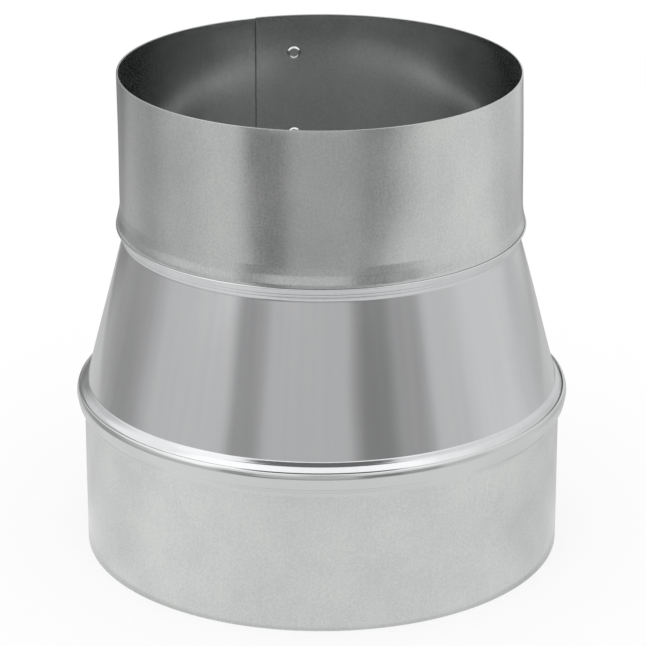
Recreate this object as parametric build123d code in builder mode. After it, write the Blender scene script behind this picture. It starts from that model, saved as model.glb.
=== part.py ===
from build123d import *
import os
from math import atan2, cos, radians, sin, tan

# Round duct reducer of three rolled sheets, standing on its large mouth. +Z is the duct axis,
# +Y is the back, where the lap seams are, and the origin is the middle of the large mouth.

# Ducts that slide over the two collars
large_duct_bore = 152.4
small_duct_bore = 127.0
slip = 0.4  # radial room between a duct and the collar inside it

# Sheet and seams
sheet = 0.5
layer_gap = 0.05  # room between two layers of sheet, in a lap and in a bead
lap_angle = 22.2
tight_angle = 75.0  # last part of a sheet's turn, rolled tighter to bring its end under its start
seam_turn = -2.75  # outer edge of the laps, from the back towards the left
lap_stop = 1.0  # from the end of a lap to the first bend of a bead

# Heights of the zones, from the large mouth up
large_collar_height = 45.2
lower_bead_height = 9.55
taper_height = 47.45
upper_bead_height = 8.6
small_collar_height = 44.7

# Lower bead, where the large collar is rolled over the taper's foot
lower_bulge = 2.62  # corner of the crest, outside the large collar
foot_inset = 1.0  # crease under the taper, inside the large collar's outside
flank_reach = 1.9
flank_height = 3.0
foot_edge_inset = 1.22  # edge of the taper's foot, inside the crest
foot_edge_height = 6.85
crest_bevel = 0.7  # facet that rounds the crest's corner
lower_hem = 1.7  # sheet rolled over the taper's foot, from the crest's corner

# Upper bead, where the taper's hem is rolled round the small collar's flare
upper_bulge = 1.5  # crest outside the small collar
neck_inset = 0.75  # valley over the taper, inside the small collar's outside
hem_height = 4.9  # hem that leans outwards from the valley to the crest
flare_overlap = 1.8  # sheet of the flare inside the hem
flare_height = 2.4

# Clinched buttons that hold the small collar's lap, pressed inwards through both layers
button_edge = 12.8  # from each end of the sheet to its button
button_radius = 2.13
crown_radius = 1.85
button_rise = 0.75  # ring above the inner layer
anvil_radius = 1.2  # hollow in the middle of the ring
anvil_depth = 0.35
punch_radius = 1.45  # hole on the outside
punch_depth = 1.2

large_radius = large_duct_bore / 2 - slip
small_radius = small_duct_bore / 2 - slip
foot_radius = large_radius - foot_inset
neck_radius = small_radius - neck_inset
lower_crest = large_radius + lower_bulge
upper_crest = small_radius + upper_bulge
lower_joint = large_collar_height + lower_bead_height
upper_joint = lower_joint + taper_height
flare_top = upper_joint + upper_bead_height
rim = flare_top + small_collar_height
layer = sheet + layer_gap
taper_lean = atan2(foot_radius - neck_radius, taper_height)
seam_angle = radians(90 + seam_turn)
button_angle = seam_angle + radians(lap_angle / 2)

# Lower bead: the hem lies parallel to the taper's foot, one layer outside it
foot_edge = Vector(lower_crest - foot_edge_inset, large_collar_height + foot_edge_height)
foot_pitch = atan2(lower_joint - foot_edge.Y, foot_edge.X - foot_radius)
hem_rise = layer / cos(foot_pitch) - foot_edge_inset * tan(foot_pitch)
hem_corner = Vector(lower_crest, foot_edge.Y + hem_rise)
hem_slope = Vector(-cos(foot_pitch), sin(foot_pitch))
flank_top = Vector(large_radius + flank_reach, large_collar_height + flank_height)
crest_slope = (hem_corner - flank_top).normalized()

# Upper bead: the foot of the flare lies parallel to the hem, one layer inside it
hem_lean = atan2(upper_crest - neck_radius, hem_height)
flare_radius = upper_crest - layer
flare_bend = upper_joint + (flare_radius - neck_radius + layer / cos(hem_lean)) / tan(hem_lean)
flare_knee = Vector(flare_radius, flare_bend)
flare_foot = flare_knee - Vector(sin(hem_lean), cos(hem_lean)) * flare_overlap

# Outsides of the three sheets, as radius and height, from the bottom up
large_line = [
    (large_radius, 0),
    (large_radius, large_collar_height),
    flank_top,
    hem_corner - crest_slope * crest_bevel,
    hem_corner + hem_slope * crest_bevel,
    hem_corner + hem_slope * lower_hem,
]
taper_line = [
    foot_edge,
    (foot_radius, lower_joint),
    (neck_radius, upper_joint),
    (upper_crest, upper_joint + hem_height),
]
small_line = [
    flare_foot,
    flare_knee,
    (flare_radius, flare_top - flare_height),
    (small_radius, flare_top),
    (small_radius, rim),
]

# Outsides of the straight laps that run on under the first turn
lap_narrowing = lap_stop * tan(taper_lean)
large_lap = [(large_radius, 0), (large_radius, large_collar_height - lap_stop)]
taper_lap = [
    (foot_radius - lap_narrowing, lower_joint + lap_stop),
    (neck_radius + lap_narrowing, upper_joint - lap_stop),
]
small_lap = [(small_radius, flare_top + lap_stop), (small_radius, rim)]

# A sheet is rolled from its seam about the duct axis, then tighter about a centre nearer its wall, so
# that it comes round one layer inside its start. It runs on there as the lap, rolled flatter, about a
# centre on the far side, so that its free edge lies one layer under the sheet too.
back = Vector(cos(seam_angle), sin(seam_angle), 0)
tight_start = back.rotate(Axis.Z, -tight_angle)
tight_shift = layer / (1 - cos(radians(tight_angle)))
tight_centre = tight_start * tight_shift
drop = cos(radians(tight_angle)) - cos(radians(tight_angle + lap_angle))
lap_shift = tight_shift * drop / (1 - cos(radians(lap_angle)))
tight_axis = Axis(tight_centre, (0, 0, 1))
lap_axis = Axis(tight_centre - back * lap_shift, (0, 0, 1))
up = Vector(0, 0, 1)
seam_plane = Plane(origin=(0, 0, 0), x_dir=back, z_dir=back.cross(up))
tight_plane = Plane(origin=(0, 0, 0), x_dir=tight_start, z_dir=tight_start.cross(up))
lap_plane = Plane(origin=tight_centre - back * tight_shift, x_dir=back, z_dir=seam_plane.z_dir)


def sheet_section(plane, line):
    """Section of a sheet: the line of its outside on a plane through the axis, thickened inwards."""
    with BuildSketch(plane) as section:
        with BuildLine():
            Polyline(*line)
            offset(amount=sheet, side=Side.LEFT, kind=Kind.INTERSECTION)
        make_face()
    return section.sketch


def lap_section(line):
    """Section of the lap where it leaves the tight turn: a straight strip of sheet."""
    low, high = Vector(*line[0]), Vector(*line[1])
    inwards = Vector(low.Y - high.Y, high.X - low.X).normalized() * sheet
    with BuildSketch(lap_plane) as section:
        with BuildLine():
            Polyline(low, high, high + inwards, low + inwards, close=True)
        make_face()
    return section.sketch


def button_section():
    """Half of a button's section, depth upwards: a tapering ring in the duct, hollow in the middle."""
    top = sheet + layer + button_rise
    floor = top - anvil_depth
    with BuildSketch(Plane.XZ) as section:
        with BuildLine():
            Polyline(
                (0, sheet / 2),
                (button_radius, sheet / 2),
                (crown_radius, top),
                (anvil_radius, top),
                (anvil_radius, floor),
                (0, floor),
                close=True,
            )
        make_face()
    return section.sketch


def button_place(height):
    """Place of a button on the outside of the small collar, with Z square into the duct."""
    out = Vector(cos(button_angle), sin(button_angle), 0)
    return Plane(origin=out * small_radius + up * height, x_dir=up, z_dir=-out)


button = revolve(button_section(), Axis.Z)

with BuildPart() as large_collar:
    revolve(sheet_section(seam_plane, large_line), Axis.Z, revolution_arc=360 - tight_angle)
    revolve(sheet_section(tight_plane, large_line), tight_axis, revolution_arc=tight_angle)
    revolve(lap_section(large_lap), lap_axis, revolution_arc=lap_angle)

with BuildPart() as taper:
    revolve(sheet_section(seam_plane, taper_line), Axis.Z, revolution_arc=360 - tight_angle)
    revolve(sheet_section(tight_plane, taper_line), tight_axis, revolution_arc=tight_angle)
    revolve(lap_section(taper_lap), lap_axis, revolution_arc=lap_angle)

with BuildPart() as small_collar:
    revolve(sheet_section(seam_plane, small_line), Axis.Z, revolution_arc=360 - tight_angle)
    revolve(sheet_section(tight_plane, small_line), tight_axis, revolution_arc=tight_angle)
    revolve(lap_section(small_lap), lap_axis, revolution_arc=lap_angle)
    with Locations(button_place(upper_joint + button_edge), button_place(rim - button_edge)):
        add(button)
        Cylinder(
            punch_radius,
            punch_depth,
            align=(Align.CENTER, Align.CENTER, Align.MIN),
            mode=Mode.SUBTRACT,
        )

large_collar.part.label = "large_collar"
taper.part.label = "taper"
small_collar.part.label = "small_collar"

os.makedirs("parts", exist_ok=True)
export_step(large_collar.part, "parts/large_collar.step")
export_step(taper.part, "parts/taper.step")
export_step(small_collar.part, "parts/small_collar.step")
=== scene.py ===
from math import cos, pi, radians, sin

import bpy
import numpy as np
from mathutils import Matrix, Vector


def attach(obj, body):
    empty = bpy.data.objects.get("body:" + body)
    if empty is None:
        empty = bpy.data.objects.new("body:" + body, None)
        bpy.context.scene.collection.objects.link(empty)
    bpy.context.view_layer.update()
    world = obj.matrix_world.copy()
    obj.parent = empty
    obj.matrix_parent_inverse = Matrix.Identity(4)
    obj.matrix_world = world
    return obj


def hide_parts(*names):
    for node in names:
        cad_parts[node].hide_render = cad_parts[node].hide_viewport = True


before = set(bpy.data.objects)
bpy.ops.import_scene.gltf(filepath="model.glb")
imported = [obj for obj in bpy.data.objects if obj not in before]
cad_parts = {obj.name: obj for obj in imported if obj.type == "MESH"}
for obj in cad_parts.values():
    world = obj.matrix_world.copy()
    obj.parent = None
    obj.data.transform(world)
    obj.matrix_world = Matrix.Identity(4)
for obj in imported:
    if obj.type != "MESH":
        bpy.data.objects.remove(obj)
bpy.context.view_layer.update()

# Duct reducer of three rolled galvanised sheets, seen in a white studio. The duct's sizes are in
# millimetres, as in the part's source; meshes and the studio are in metres. -Y is the front, and +Y is the
# back, where the laps are.
MM = 0.001

# Sheet, roll and laps; turns are in degrees, counter-clockwise from the outer edge of the laps
sheet = 0.5
layer = 0.55  # from one layer of a lap to the next
seam_angle = 87.25  # outer edge of the laps, from +X
tight_angle = 75.0  # last part of a turn, rolled tighter to bring the sheet's end under its start
lap_angle = 22.2
lap_stop = 1.0  # from the end of a lap to the nearest corner of a bead
seam_slit = 0.02  # left open between the two ends of a sheet in the beads
edge_round = 0.12  # radius on the cut edges of the sheet

tight_shift = layer / (1 - cos(radians(tight_angle)))
lap_shift = tight_shift * (cos(radians(tight_angle)) - cos(radians(tight_angle + lap_angle)))
lap_shift /= 1 - cos(radians(lap_angle))
short_end = tight_shift * sin(radians(tight_angle))  # from the end of the tight turn to the seam

# Corners of the sheets' outsides as (radius, height), from the bottom up, and the bends' radii
large_corners = [
    (75.8, 0), (75.8, 45.2), (77.7, 48.2), (78.271, 51.1), (78.084, 51.98), (77.747, 52.814),
    (77.291, 53.121)]
large_bends = [3.0, 2.5, 1.8, 4.0, 0.4]
taper_corners = [(77.285, 52.05), (75.9, 54.45), (74.64, 55.35), (62.35, 102.2), (64.45, 106.45)]
taper_bends = [2.5, 0.7, 1.5]
small_corners = [
    (63.17, 105.07), (63.88, 106.5), (63.88, 107.6), (63.35, 110.1), (63.1, 112.8), (63.1, 155.5)]
small_bends = [1.2, 4.0, 10.0, 6.0]

# Clinched buttons of the laps: heights on the three sheets, then (depth, start and end of the wall) of the
# pressed faces and (height, foot, width of the slope) of the ring, by the distance from the middle
large_buttons, taper_buttons, small_buttons = (12.8, 41.0), (67.55, 89.4), (115.0, 142.7)
punch_hole = (1.2, 1.3, 1.5)  # outside of the outer layer
punch_back = (0.75, 1.5, 1.7)  # inside of the outer layer
nest_front = (0.675, 1.6, 1.8)  # outside of the inner layer
ring_rise = (0.31, 2.15, 0.5)  # inside of the inner layer
ring_hollow = (0.24, 1.55, 0.42)
bowl_depth, bowl_radius = 0.08, 1.1  # in the hollow
button_polish, button_reach = 2.0, 2.4  # end of the rubbed skin, and half of the finely divided square

# Fine lines that the bead rollers leave, by height
roller_lines = np.array([1.6, 45.6, 47.2, 48.7, 103.2, 104.35])
roller_depth, roller_width = 0.014, 0.13
polish_fade = 2.0  # from the end of a lap to the fully polished bead

# Uneven edges of the rolled sheets; lengths are from the edge
hem_round = 0.36  # radius on the outside of the taper's upper edge, pressed over by the bead roller
hem_loss, hem_loss_length = 0.5, 3.5  # how much lower that edge lies on the left, and over what length
hem_loss_turn, hem_loss_width = 117.0, 32.0
foot_rise = 0.46  # how far the taper's foot swells on the left, level with the hem that lies against it
foot_rise_start, foot_rise_top, foot_rise_end = 0.72, 0.9, 3.2
foot_rise_turn, foot_rise_full, foot_rise_none = 112.0, 30.0, 58.0  # its middle, and turns from there
seam_dip = 0.45  # outer end of the small collar's rim, below its inner end
seam_dip_turn, seam_dip_length = 110.0, 40.0

# Shape of the handled duct
rim_lean, rim_squeeze = 0.5, 0.24  # towards the left, and inwards on both sides
lean_start, lean_height, lean_power = 112.0, 43.5, 1.4
foot_dent, foot_dent_top, foot_dent_height = 0.25, 101.0, 46.0  # on the left
bead_bulge, bead_bulge_middle, bead_bulge_width = 0.3, 107.0, 4.0  # on the left
wave_counts, wave_lengths = (3, 5, 8, 11, 14, 19), (25, 90)  # round the duct, and along it
wave_size, wave_fade, wave_seed = 0.2, 9.0, 7

# Mesh: steps along a sheet, steps round it in degrees, and other sizes
edge_step, bead_step, button_step, plain_step = 0.03, 0.12, 0.13, 2.6
button_arc, lap_arc, plain_arc = 0.12, 1.0, 2.0
least_bead, foot_zone = 0.4, 2.2  # shorter ends have no bead, and a plain foot is finely divided this far
sharp_angle = 50.0  # faces that meet at more than this keep a sharp edge
inside_pattern = 10.0  # from the outside to the inside of a sheet in the pattern's own space


def bent_line(corners, bends):
    """Outside line of a sheet: straight runs between corners, with each inner corner rounded by an arc of
    its bend radius that touches both runs. Along a piece of curvature k the heading turns by k times the
    length t, and the point moves by t times sinc(k t / 2) along the mean heading. Returns the line as a
    function of lengths that gives points and outward normals, and its whole length."""
    runs = np.diff(np.array(corners, float), axis=0)
    headings = np.arctan2(runs[:, 1], runs[:, 0])
    bend, radius = np.diff(headings), np.array(bends, float)
    cut = radius * np.tan(np.abs(bend) / 2)
    length, curve = np.zeros((2, 2 * len(radius) + 1))
    length[0::2] = np.hypot(*runs.T) - np.append(cut, 0) - np.insert(cut, 0, 0)
    length[1::2] = np.abs(bend) * radius
    curve[1::2] = np.sign(bend) / radius
    start = np.insert(np.cumsum(length), 0, 0)
    first = headings[0] + np.insert(np.cumsum(curve * length), 0, 0)[:-1]

    def moved(t, heading, k):
        mean = heading + k * t / 2
        return (t * np.sinc(k * t / (2 * pi)))[:, None] * np.stack([np.cos(mean), np.sin(mean)], -1)

    ends = np.cumsum(moved(length, first, curve), axis=0)
    begin = np.array(corners[0], float) + np.vstack([[0, 0], ends[:-1]])

    def line(lengths):
        k = np.clip(np.searchsorted(start, lengths, "right") - 1, 0, len(length) - 1)
        t = lengths - start[k]
        heading = first[k] + curve[k] * t
        return begin[k] + moved(t, first[k], curve[k]), np.stack([np.sin(heading), -np.cos(heading)], -1)

    return line, start[-1]


def steps(stops):
    """Values from the first stop to the last, even between stops, about as far apart as each stop says."""
    parts = [
        np.linspace(a, b, max(1, round((b - a) / size)), endpoint=False)
        for (a, size), (b, _) in zip(stops, stops[1:])
    ]
    return np.append(np.concatenate(parts), stops[-1][0])


def fall(distance, near, far):
    """Smooth step from 1 within the near distance to 0 past the far one."""
    t = np.clip((far - distance) / (far - near), 0, 1)
    return t * t * (3 - 2 * t)


def rounded_edge(distance, radius=edge_round):
    """Depth that a rounded cut edge takes off a face: a quarter circle over the edge's radius."""
    t = np.clip(1 - distance / radius, 0, 1)
    return radius * (1 - np.sqrt(1 - t * t))


def handling_waves(angle, height):
    """Slight waves of rolled sheet, in millimetres: cosines round the duct with whole numbers of waves and
    along it with lengths of 25 to 90 mm, their phases and sizes from a seeded generator."""
    dice = np.random.default_rng(wave_seed)
    total = np.zeros(np.broadcast(angle, height).shape)
    for count in wave_counts:
        wave, phase, size = dice.uniform(*wave_lengths), dice.uniform(0, 2 * pi, 2), dice.uniform(0.5, 1)
        total += size / count * np.cos(count * angle + phase[0]) * np.cos(2 * pi * height / wave + phase[1])
    return wave_size * total


def out_of_round(points):
    """Sideways shift of the handled duct, in millimetres, by its side s (1 on the right, -1 on the left).
    Towards the rim it is -(0.5 s s + 0.24 s), so that the small collar leans in on the right and slightly out
    on the left. Below, the left side lies in by 0.25 s s, less and less up the cone, and out by 0.3 s s at
    the upper bead."""
    x, y, z = np.moveaxis(points, -1, 0)
    side = x / np.hypot(x, y)
    rim_share = np.clip((z - lean_start) / lean_height, 0, 1) ** lean_power
    dent = foot_dent * np.clip((foot_dent_top - z) / foot_dent_height, 0, 1)
    bulge = bead_bulge * np.exp(-(((z - bead_bulge_middle) / bead_bulge_width) ** 2))
    return -(rim_lean * side**2 + rim_squeeze * side) * rim_share + np.clip(-side, 0, 1) ** 2 * (dent - bulge)


def button_depths(distance, outer_layer):
    """Depths by which a button moves the outside and the inside of a sheet inwards, by the distance from its
    middle: a hole with smooth walls, pressed through the outer layer into the inner one, and inside the duct
    a ring with straight slopes, a hollow in the ring and a shallow bowl in the hollow."""

    def pressed(depth, near, far):
        return depth * fall(distance, near, far)

    def sloped(height, foot, width):
        return height * np.clip((foot - distance) / width, 0, 1)

    bowl = bowl_depth * np.clip(1 - (distance / bowl_radius) ** 2, 0, 1)
    ring = sloped(*ring_rise) - sloped(*ring_hollow) - bowl
    outside = np.where(outer_layer, pressed(*punch_hole), pressed(*nest_front))
    inside = np.where(outer_layer, pressed(*punch_back), ring)
    return outside, inside


def sheet_grid(whole, low, high, presses, radius, top_round):
    """Lengths along a sheet and turns round it for its mesh, close together at edges, beads and buttons, and
    the turn of the column where the sheet's end meets its start in the beads."""
    lengths = [(0, edge_step), (edge_round, bead_step), (low if low > least_bead else foot_zone, plain_step)]
    for press in presses:
        lengths += [(press - button_reach, button_step), (press + button_reach, plain_step)]
    if high < whole - least_bead:
        lengths.append((high, bead_step))
    lengths += [(whole - top_round, edge_step), (whole, 0)]

    fine, edge, reach, rest = np.degrees(np.array([edge_step, edge_round, button_reach, short_end]) / radius)
    middle, meeting, end = lap_angle / 2, 360 + rest, 360 + lap_angle
    turns = [
        (0, fine), (edge, lap_arc),
        (middle - reach, button_arc), (middle + reach, plain_arc),
        (360 - tight_angle, plain_arc), (360, lap_arc), (meeting, lap_arc),
        (360 + middle - reach, button_arc), (360 + middle + reach, lap_arc),
        (end - edge, fine), (end, 0)]
    return steps(lengths), steps(turns), meeting


def sheet_mesh(name, points, kept, attributes):
    """Closed mesh of a sheet from points by face (outside, inside), turn and row. Each kept cell has a quad
    on both faces, and a wall between the faces wherever its neighbour isn't kept. Attributes are (name,
    type, field, values), with a value for each point."""
    outside, inside = np.arange(points[..., 0].size).reshape(points.shape[:3])
    a, b, c, d = outside[:-1, :-1], outside[1:, :-1], outside[1:, 1:], outside[:-1, 1:]
    e, f, g, h = inside[:-1, :-1], inside[1:, :-1], inside[1:, 1:], inside[:-1, 1:]
    padded = np.pad(kept, 1)

    def quad(mask, *corners):
        return np.stack([corner[mask] for corner in corners], -1)

    quads = np.concatenate([
        quad(kept, a, b, c, d), quad(kept, e, h, g, f),
        quad(kept & ~padded[1:-1, :-2], a, e, f, b), quad(kept & ~padded[1:-1, 2:], d, c, g, h),
        quad(kept & ~padded[:-2, 1:-1], a, d, h, e), quad(kept & ~padded[2:, 1:-1], b, f, g, c)])
    used, quads = np.unique(quads, return_inverse=True)
    quads = quads.reshape(-1, 4)

    mesh = bpy.data.meshes.new(name)
    mesh.vertices.add(len(used))
    mesh.vertices.foreach_set("co", points.reshape(-1, 3)[used].ravel())
    mesh.loops.add(quads.size)
    mesh.loops.foreach_set("vertex_index", quads.ravel())
    mesh.polygons.add(len(quads))
    mesh.polygons.foreach_set("loop_start", np.arange(0, quads.size, 4))
    mesh.update(calc_edges=True)
    mesh.polygons.foreach_set("use_smooth", np.ones(len(quads), bool))
    mesh.set_sharp_from_angle(angle=radians(sharp_angle))
    for label, kind, field, values in attributes:
        data = mesh.attributes.new(label, kind, "POINT").data
        data.foreach_set(field, values.reshape(outside.size + inside.size, -1)[used].ravel())
    return mesh


def rolled_sheet(
        name, corners, bends, lap, buttons, polish=0.0, dip=0.0, top_round=edge_round, loss=0.0, rise=0.0):
    """One rolled sheet of the reducer. Its outside is the bent line carried round a roll of three arcs: from
    the seam about the duct axis, then tighter about a centre nearer the wall until it comes round one layer
    inside its start, then flatter as the lap. Its inside is the outside moved in by the sheet's thickness
    along the normal. Buttons push both faces in by depths that depend on the distance from their middle. In
    the beads, which have no lap, the end runs on past the tight turn until it meets the start."""
    line, whole = bent_line(corners, bends)
    dense = np.linspace(0, whole, 4000)
    low, high, *presses = np.interp([*lap, *buttons], line(dense)[0][:, 1], dense)
    rows, columns, meeting = sheet_grid(whole, low, high, presses, corners[2][0], top_round)

    # Outside line at each turn, with the uneven edges
    turn, along = columns[:, None], rows[None, :]
    to_top = whole - along
    uneven = np.exp(-(((turn - hem_loss_turn) / hem_loss_width) ** 2))
    shortened = loss * uneven * fall(to_top, 0, hem_loss_length)
    swollen = rise * fall(np.abs(turn - foot_rise_turn), foot_rise_full, foot_rise_none)
    swollen = swollen * fall(along, foot_rise_top, foot_rise_end)
    swollen = swollen * np.clip((along - foot_rise_start) / (foot_rise_top - foot_rise_start), 0, 1)
    shape = (2, len(columns), len(rows))
    (radius, height), (out, up) = (v.T.reshape(shape) for v in line((along - shortened).ravel()))

    # Roll of three arcs
    meets = 360 + np.degrees((short_end - seam_slit) / (radius - tight_shift + lap_shift))
    turn = np.where(turn == meeting, meets, turn)
    angle = np.radians(seam_angle + turn)
    tight_move = np.where(turn >= 360 - tight_angle, tight_shift, 0)
    lap_move = np.where(turn >= 360, lap_shift, 0)
    tight_way, seam_way = radians(seam_angle - tight_angle), radians(seam_angle)
    centre_x = tight_move * cos(tight_way) - lap_move * cos(seam_way)
    centre_y = tight_move * sin(tight_way) - lap_move * sin(seam_way)
    rolled = radius - tight_move + lap_move
    height = height - dip * fall(turn, 0, seam_dip_turn) * fall(to_top, 0, seam_dip_length)

    # Buttons, edges, waves and roller lines as depths along the normal
    outer_layer = turn < 180
    past_button = turn - np.where(outer_layer, 0, 360) - lap_angle / 2
    distance = np.min([np.hypot(np.radians(past_button) * radius, along - m) for m in presses], axis=0)
    pressed_out, pressed_in = button_depths(distance, outer_layer)
    past_ends = np.radians(np.minimum(turn, 360 + lap_angle - turn)) * radius
    in_lap = (along >= low) & (along <= high)
    edge = rounded_edge(np.minimum(along, to_top))
    edge = np.maximum(edge, np.where(in_lap, rounded_edge(past_ends), 0))
    outer_edge = np.maximum(edge, rounded_edge(to_top, top_round))
    wave = handling_waves(angle, height) * fall(low - along, -wave_fade, 0)
    wave = wave * fall(along - high, -wave_fade, 0)
    lines = np.exp(-(((height[:, :, None] - roller_lines) / roller_width) ** 2)).sum(-1)
    wave = wave - roller_depth * lines
    depths = [wave + swollen - pressed_out - outer_edge, wave - pressed_in - sheet + edge]
    points = np.stack([
        np.stack([
            centre_x + (rolled + depth * out) * np.cos(angle),
            centre_y + (rolled + depth * out) * np.sin(angle),
            height + depth * up], -1)
        for depth in depths])
    points[..., 0] += out_of_round(points)

    mid_turn, mid_row = (columns[1:] + columns[:-1]) / 2, (rows[1:] + rows[:-1]) / 2
    kept = (mid_turn[:, None] < meeting) | ((mid_row > low) & (mid_row < high))[None, :]

    # Place on the flat sheet, for patterns, and share of the skin that is polished
    flat = np.stack(np.broadcast_arrays(np.radians(turn) * np.mean(radius), along, 0.0), -1)
    place = np.stack([flat, flat + [0, 0, inside_pattern]]) * MM
    straight = fall(low - along, 0, polish_fade) * fall(along - high, 0, polish_fade)
    bead = np.maximum(polish * (1 - straight), fall(distance, button_polish, button_reach))
    mesh = sheet_mesh(name, points * MM, kept, [
        ("place", "FLOAT_VECTOR", "vector", place), ("bead", "FLOAT", "value", np.stack([bead, bead]))])
    piece = bpy.data.objects.new(name, mesh)
    bpy.context.scene.collection.objects.link(piece)
    return piece


def linear(hex_colour):
    """Linear colour of an sRGB hex value such as C8C9C9, with alpha 1."""
    s = np.array([int(hex_colour[k:k + 2], 16) for k in (0, 2, 4)]) / 255
    return (*np.where(s <= 0.04045, s / 12.92, ((s + 0.055) / 1.055) ** 2.4), 1.0)


def scale(*sizes):
    """Scale that gives a pattern features of this size in millimetres, or of these sizes by axis."""
    values = tuple(1 / (size * MM) for size in sizes)
    return values if len(values) > 1 else values[0]


def add(tree, kind, settings={}, links={}):
    """Adds a node. Settings in lower case are its own, others are inputs; links join inputs to sockets."""
    node = tree.nodes.new("ShaderNode" + kind)
    for key, value in settings.items():
        if isinstance(key, str) and key.islower():
            setattr(node, key, value)
        else:
            node.inputs[key].default_value = value
    for key, socket in links.items():
        tree.links.new(socket, node.inputs[key])
    return node


def set_ramp(node, stops):
    """Sets a colour ramp's stops from (position, linear colour) pairs."""
    ramp = node.color_ramp
    while len(ramp.elements) < len(stops):
        ramp.elements.new(0.5)
    for element, (position, colour) in zip(ramp.elements, stops):
        element.position, element.color = position, colour


def new_tree(material):
    """Empty node tree of a material."""
    material.use_nodes = True
    material.node_tree.nodes.clear()
    return material.node_tree


def galvanised_steel():
    """Hot-dip galvanised steel sheet, skin-passed: a pale grey metal with a matte, finely grained zinc skin,
    faint upright scuffs, soft cloudy patches, and a brighter polish where rollers ran over the beads."""
    material = bpy.data.materials.new("galvanised_steel_skin_passed")
    tree = new_tree(material)
    where = add(tree, "TexCoord").outputs["Object"]
    place = add(tree, "Attribute", {"attribute_name": "place"}).outputs["Vector"]
    bead = add(tree, "Attribute", {"attribute_name": "bead"}).outputs["Fac"]
    # Zinc grain is about 0.1 mm; drawn at 0.6 mm so that it shows
    grain = add(tree, "TexNoise", {"Scale": scale(0.6), "Detail": 2.0}, {"Vector": where}).outputs["Fac"]
    patches = add(tree, "TexNoise", {"Scale": scale(16), "Detail": 3.0}, {"Vector": where}).outputs["Fac"]
    # Scuffs 0.8 mm wide and 7 mm long, along the duct
    drawn = add(tree, "Mapping", {"Scale": scale(0.8, 7, 5)}, {"Vector": place})
    scuffs = add(tree, "TexNoise", {"Scale": 1.0, "Detail": 2.0}, {"Vector": drawn.outputs[0]}).outputs["Fac"]
    # Mean of the three, the grain with most weight
    patch_share, scuff_share, grain_share = 1.0, 0.4, 1.6
    shares = patch_share + scuff_share + grain_share
    cloud = add(tree, "Math", {"operation": "MULTIPLY_ADD", 1: scuff_share}, {0: scuffs, 2: patches})
    rich = add(tree, "Math", {"operation": "MULTIPLY_ADD", 1: grain_share}, {0: grain, 2: cloud.outputs[0]})
    mixed = add(tree, "Math", {"operation": "DIVIDE", 1: shares}, {0: rich.outputs[0]}).outputs[0]
    skin = add(tree, "ValToRGB", {}, {"Fac": mixed})
    set_ramp(skin, [(0.4, linear("C5C7C7")), (0.5, linear("CBCDCC")), (0.6, linear("D1D3D1"))])
    colour = add(tree, "Mix", {"data_type": "RGBA", "B": linear("CDCFCE")},
                 {"Factor": bead, "A": skin.outputs["Color"]}).outputs["Result"]
    matte = add(tree, "MapRange", {"From Min": 0.35, "From Max": 0.65, "To Min": 0.16, "To Max": 0.22},
                {"Value": mixed}).outputs[0]
    rough = add(tree, "Mix", {"data_type": "FLOAT", "B": 0.12}, {"Factor": bead, "A": matte}).outputs[0]
    relief = add(tree, "MapRange", {"To Min": 0.1, "To Max": 0.0}, {"Value": bead}).outputs[0]
    bump = add(tree, "Bump", {"Distance": 0.02 * MM}, {"Height": grain, "Strength": relief}).outputs[0]
    shader = add(tree, "BsdfPrincipled", {"Metallic": 1.0},
                 {"Base Color": colour, "Roughness": rough, "Normal": bump})
    add(tree, "OutputMaterial", {}, {"Surface": shader.outputs[0]})
    return material


def burnished_zinc():
    """Galvanised sheet burnished by the rollers that drew the cone: the zinc is smeared smooth, so it mirrors
    its surroundings in upright bands, with soft streaks along the cone and fine turning lines round it."""
    material = bpy.data.materials.new("galvanised_steel_burnished")
    tree = new_tree(material)
    place = add(tree, "Attribute", {"attribute_name": "place"}).outputs["Vector"]
    # Streaks about 2.5 mm wide and 70 mm long; turning lines 0.15 mm apart, drawn at 0.5 mm
    down = add(tree, "Mapping", {"Scale": scale(2.5, 70, 5)}, {"Vector": place})
    streaks = add(tree, "TexNoise", {"Scale": 1.0, "Detail": 3.0}, {"Vector": down.outputs[0]}).outputs["Fac"]
    around = add(tree, "Mapping", {"Scale": scale(30, 0.5, 5)}, {"Vector": place})
    lines = add(tree, "TexNoise", {"Scale": 1.0, "Detail": 2.0}, {"Vector": around.outputs[0]}).outputs["Fac"]
    # Mean of the two, the streaks with most weight
    streak_share, line_share = 1.0, 0.4
    shares = streak_share + line_share
    mixed = add(tree, "Math", {"operation": "MULTIPLY_ADD", 1: line_share}, {0: lines, 2: streaks}).outputs[0]
    marks = add(tree, "Math", {"operation": "DIVIDE", 1: shares}, {0: mixed}).outputs[0]
    colour = add(tree, "ValToRGB", {}, {"Fac": marks})
    set_ramp(colour, [(0.35, linear("CCCCCE")), (0.5, linear("CDCECF")), (0.65, linear("CFCFD0"))])
    rough = add(tree, "MapRange", {"From Min": 0.3, "From Max": 0.7, "To Min": 0.12, "To Max": 0.16},
                {"Value": marks}).outputs[0]
    bump = add(tree, "Bump", {"Strength": 0.06, "Distance": 0.02 * MM}, {"Height": lines}).outputs[0]
    shader = add(tree, "BsdfPrincipled", {"Metallic": 1.0},
                 {"Base Color": colour.outputs["Color"], "Roughness": rough, "Normal": bump})
    add(tree, "OutputMaterial", {}, {"Surface": shader.outputs[0]})
    return material


def dress(piece, node, material):
    """Gives a piece its material, says which body it rides on, and hides the solid it stands for."""
    piece.data.materials.append(material)
    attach(piece, "root")
    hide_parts(node)


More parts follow.
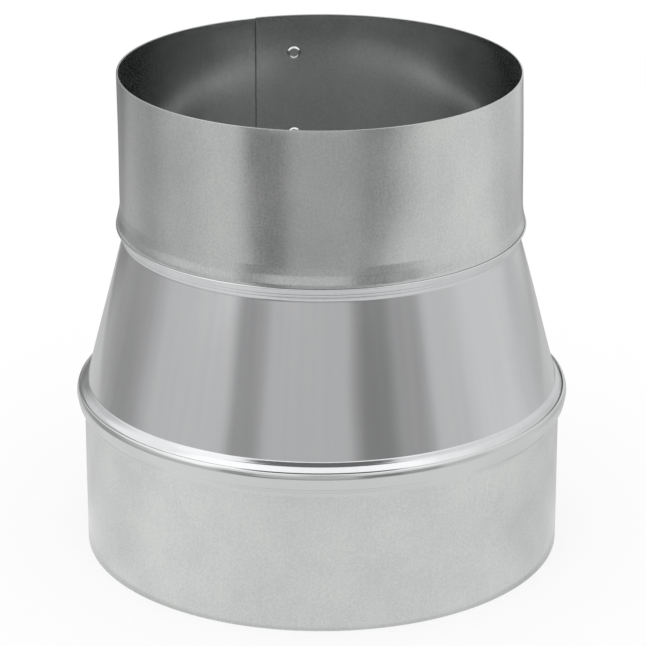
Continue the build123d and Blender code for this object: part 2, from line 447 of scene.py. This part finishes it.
# The three sheets, with the heights where their laps start and end
zinc, burnished = galvanised_steel(), burnished_zinc()
large_lap = (0, large_corners[1][1] - lap_stop)
taper_lap = (taper_corners[2][1] + lap_stop, taper_corners[3][1] - lap_stop)
small_lap = (small_corners[4][1] - lap_stop, small_corners[5][1])
dress(
    rolled_sheet("rolled_large_collar", large_corners, large_bends, large_lap, large_buttons, polish=1.0),
    "large_collar", zinc)
dress(
    rolled_sheet("rolled_taper", taper_corners, taper_bends, taper_lap, taper_buttons,
                 top_round=hem_round, loss=hem_loss, rise=foot_rise),
    "taper", burnished)
dress(
    rolled_sheet("rolled_small_collar", small_corners, small_bends, small_lap, small_buttons, dip=seam_dip),
    "small_collar", zinc)


# Studio: white floor and sky, boards of several greys round the object, and a softbox above it
floor_half = 8.0
low_floor, high_floor, high_floor_from = 0.0002, 0.002, 0.2  # floor boards' heights within and past a radius
shift_radii, shifts = [0.08, 0.27, 0.9], [0, 0.07, 0]  # how far back the floor boards' middles lie
ring_sides = 180
paper_radius, paper_height, paper_sides = 0.0751, 0.0004, 96
wall = 0.9  # radius of the standing boards
card_height, card_corners = 1.1, [(-0.36, -0.42), (-0.34, 0.4), (0.34, 0.4), (0.36, -0.42)]
softbox_width, softbox_depth, softbox_level = 0.9, 0.52, 0.45
softbox_place, softbox_aim = Vector((0, -0.63, 0.89)), Vector((0, 0, 0.06))


def glow(name, strength, diffuse):
    """White paper lit from below: emission of one strength plus a diffuse part that takes the shadow."""
    material = bpy.data.materials.new(name)
    tree = new_tree(material)
    paper = add(tree, "BsdfDiffuse", {"Color": (diffuse, diffuse, diffuse, 1)})
    light = add(tree, "Emission", {"Strength": strength})
    both = add(tree, "AddShader", {}, {0: paper.outputs[0], 1: light.outputs[0]})
    add(tree, "OutputMaterial", {}, {"Surface": both.outputs[0]})
    return material


def board_material(name, boards):
    """Boards as a ring of greys: emission whose strength follows the azimuth from the front, to the right."""
    material = bpy.data.materials.new(name)
    tree = new_tree(material)
    split = add(tree, "SeparateXYZ", {}, {0: add(tree, "TexCoord").outputs["Object"]})
    front = add(tree, "Math", {"operation": "MULTIPLY", 1: -1.0}, {0: split.outputs["Y"]}).outputs[0]
    azimuth = add(tree, "Math", {"operation": "ARCTAN2"}, {0: split.outputs["X"], 1: front}).outputs[0]
    share = add(tree, "Math", {"operation": "MULTIPLY_ADD", 1: 0.5 / pi, 2: 0.5}, {0: azimuth}).outputs[0]
    ramp = add(tree, "ValToRGB", {}, {"Fac": share})
    set_ramp(ramp, [
        (edge / 360 + 0.5, (level, level, level, 1)) for *edges, level in boards for edge in edges])
    light = add(tree, "Emission", {"Strength": 1.0}, {"Color": ramp.outputs["Color"]})
    add(tree, "OutputMaterial", {}, {"Surface": light.outputs[0]})
    return material


def stage_object(name, points, faces, material):
    """Piece of the studio, from its points in metres and its faces."""
    mesh = bpy.data.meshes.new(name)
    mesh.from_pydata(points, [], faces)
    mesh.materials.append(material)
    piece = bpy.data.objects.new(name, mesh)
    bpy.context.scene.collection.objects.link(piece)
    return piece


def only_mirrored(board):
    """Leaves a board to mirrored light alone: it stays out of the picture and takes no light away."""
    board.visible_camera = board.visible_diffuse = board.visible_shadow = False


def board_ring(name, profile, boards):
    """Ring of boards round the object, turned from a profile of (radius, middle's y, height) in metres."""
    angle = np.linspace(0, 2 * pi, ring_sides, endpoint=False)[:, None]
    r, y, z = np.array(profile).T
    points = np.stack(np.broadcast_arrays(r * np.cos(angle), y + r * np.sin(angle), z), -1)
    k, j = np.meshgrid(np.arange(ring_sides), np.arange(len(r) - 1), indexing="ij")
    here, after = k * len(r) + j, (k + 1) % ring_sides * len(r) + j
    quads = np.stack([here, after, after + 1, here + 1], -1)
    only_mirrored(stage_object(
        name, points.reshape(-1, 3).tolist(), quads.reshape(-1, 4).tolist(), board_material(name, boards)))


def floor_rings(name, radii, near, far):
    """Rings of boards lying on the floor, whose edges and levels go evenly from the near list to the far
    one. Their middles lie behind the duct's axis, most at a radius of 0.27 m. The inner ones lie lower, so
    that the foot of the duct mirrors them too."""
    shift = np.interp(radii, shift_radii, shifts)
    height = np.where(np.array(radii) > high_floor_from, high_floor, low_floor)
    for k in range(len(radii) - 1):
        share = k / max(1, len(radii) - 2)
        boards = np.array(near) * (1 - share) + np.array(far) * share
        board_ring(f"{name}_{k + 1}", [(radii[e], shift[e], height[e]) for e in (k, k + 1)], boards.tolist())


stage_object(
    "floor", [(x * floor_half, y * floor_half, 0) for x, y in [(-1, -1), (1, -1), (1, 1), (-1, 1)]],
    [(0, 1, 2, 3)], glow("white_paper_floor", 0.7, 0.3))

# Paper inside the duct, which the lit paper's glow doesn't reach: its weaker glow is painted shade, and its
# diffuse part takes the light that comes in through the mouth
turns = np.linspace(0, 2 * pi, paper_sides, endpoint=False)
inner_paper = np.stack(
    [paper_radius * np.cos(turns), paper_radius * np.sin(turns), np.full(paper_sides, paper_height)], -1)
stage_object(
    "floor_inside", inner_paper.tolist(), [tuple(range(paper_sides))], glow("paper_with_painted_shade", 0.18, 0.46))

# Boards are (from, to, level): azimuths in degrees from the front, to the right, and how bright they are.
# The level changes evenly between one board and the next.
board_ring("low_boards", [(wall, 0, 0.0), (wall, 0, 0.14)], [
    (-180, -172, 0.62), (-164, -152, 0.28), (-145, -138, 0.38), (-132, -122, 0.43), (-114, -104, 0.48),
    (-86, -46, 0.73), (-42, -30, 0.43), (-26, 13, 0.66), (19, 33, 0.31), (37, 51, 0.47), (55, 72, 0.74),
    (80, 116, 0.86), (124, 130, 0.76), (136, 164, 0.84), (174, 180, 0.62)])
board_ring("standing_boards", [(wall, 0, 0.14), (wall, 0, 0.2)], [
    (-180, -146, 0.40), (-134, -112, 0.88), (-98, -46, 0.73), (-42, -30, 0.43), (-26, 13, 0.66),
    (19, 33, 0.31), (37, 51, 0.47), (55, 72, 0.74), (80, 116, 0.88), (124, 164, 0.87), (174, 180, 0.8)])
board_ring("hem_boards", [(wall, 0, 0.2), (wall, 0, 0.27)], [
    (-180, -146, 0.33), (-134, -108, 0.88), (-94, -78, 1.2), (-68, -52, 1.3), (-42, -30, 0.43),
    (-26, 13, 0.66), (19, 33, 0.31), (37, 51, 0.47), (56, 72, 0.8), (80, 116, 0.9), (124, 164, 0.87),
    (174, 180, 0.8)])
board_ring("middle_boards", [(wall, 0, 0.27), (wall, 0, 0.42)], [
    (-180, -150, 0.30), (-134, -104, 0.9), (-92, -80, 1.3), (-66, -52, 1.5), (-42, -12, 1.0), (-4, 8, 0.65),
    (19, 42, 0.95), (54, 64, 1.1), (80, 90, 1.05), (104, 112, 0.95), (122, 140, 0.87), (150, 180, 1.1)])
board_ring("upper_softboxes", [(wall, 0, 0.42), (0.72, 0, 0.8), (0.64, 0, 0.88)], [
    (-180, -150, 0.45), (-134, -128, 0.8), (-117, -84, 1.3), (-70, -36, 1.6), (-8, 8, 1.4), (36, 48, 1.55),
    (60, 70, 1.27), (84, 98, 1.07), (112, 128, 1.0), (140, 150, 0.87), (165, 180, 0.62)])
board_ring("top_softboxes", [(0.64, 0, 0.88), (0.36, 0, 1.06)], [
    (-180, -150, 0.7), (-132, -126, 1.0), (-117, -62, 1.5), (-44, 44, 0.2), (62, 75, 1.25), (88, 120, 1.05),
    (140, 180, 0.7)])
floor_rings("floor_boards", [0.27, 0.36, 0.41, 0.46, wall], [
    (-180, -166, 0.20), (-158, -146, 0.35), (-134, -120, 0.54), (-106, -102, 0.45), (-88, -78, 0.57),
    (-56, -34, 0.72), (-26, -22, 0.29), (-14, 15, 0.48), (17, 19, 0.40), (21, 60, 0.84), (80, 102, 0.88),
    (110, 114, 0.74), (122, 130, 0.62), (138, 146, 0.57), (156, 180, 0.36)], [
    (-180, -166, 0.14), (-160, -140, 0.26), (-131, -124, 0.46), (-112, -102, 0.42), (-88, -78, 0.57),
    (-60, -45, 0.72), (-37, -22, 0.28), (-14, 16, 0.48), (25, 35, 0.36), (58, 68, 0.82), (80, 102, 0.88),
    (110, 114, 0.76), (122, 130, 0.70), (138, 146, 0.78), (156, 180, 0.4)])
floor_rings("near_floor", [0.0778, 0.12, 0.16, 0.27], [
    (-180, -150, 0.56), (-138, -132, 0.62), (-120, -108, 0.75), (-94, -70, 0.88), (-60, -46, 0.97),
    (-16, 14, 0.89), (46, 58, 0.92), (72, 76, 0.82), (84, 96, 0.79), (112, 120, 0.68), (132, 138, 0.57),
    (150, 180, 0.48)], [
    (-180, -150, 0.60), (-134, -126, 0.73), (-116, -108, 0.82), (-100, -84, 0.92), (-70, -50, 0.97),
    (-16, 14, 0.90), (50, 60, 0.92), (70, 80, 0.92), (88, 96, 0.90), (106, 112, 0.83), (128, 136, 0.71),
    (150, 180, 0.60)])
# Darker ring round the foot, seen only in mirrors: painted shadow of the floor next to the duct, which the
# large collar's foot mirrors
board_ring("foot_shadow", [(0.0757, 0, low_floor), (0.0778, 0, low_floor)], [
    (-180, -150, 0.46), (-120, -60, 0.79), (-40, 40, 0.78), (60, 120, 0.69), (150, 180, 0.46)])
only_mirrored(stage_object(
    "ceiling_card", [(x, y, card_height) for x, y in card_corners], [(0, 1, 2, 3)],
    glow("grey_card", 0.2, 0.0)))

world = bpy.data.worlds.new("white_sky")
bpy.context.scene.world = world
world.use_nodes = True
world.node_tree.nodes["Background"].inputs["Color"].default_value = (1, 1, 1, 1)
world.node_tree.nodes["Background"].inputs["Strength"].default_value = 1.0

lamp = bpy.data.lights.new("softbox", "AREA")
lamp.shape, lamp.size, lamp.size_y = "RECTANGLE", softbox_width, softbox_depth
lamp.energy = softbox_level * pi * lamp.size * lamp.size_y
softbox = bpy.data.objects.new("softbox", lamp)
softbox_turn = (softbox_place - softbox_aim).to_track_quat("Z", "Y")
softbox.matrix_world = Matrix.Translation(softbox_place) @ softbox_turn.to_matrix().to_4x4()
softbox.visible_camera = softbox.visible_glossy = False
bpy.context.scene.collection.objects.link(softbox)

# Camera: 21 degrees above the floor, about a metre away, with a long lens
camera_elevation = 20.96
lens = bpy.data.cameras.new("camera")
lens.sensor_width, lens.lens, lens.shift_x = 36.0, 185.46, 0.0026
camera = bpy.data.objects.new("camera", lens)
camera.location = (0, -0.9879, 0.4499)
camera.rotation_euler = (radians(90 - camera_elevation), 0, 0)
bpy.context.scene.collection.objects.link(camera)
bpy.context.scene.camera = camera
bpy.context.scene.view_settings.view_transform = "Standard"
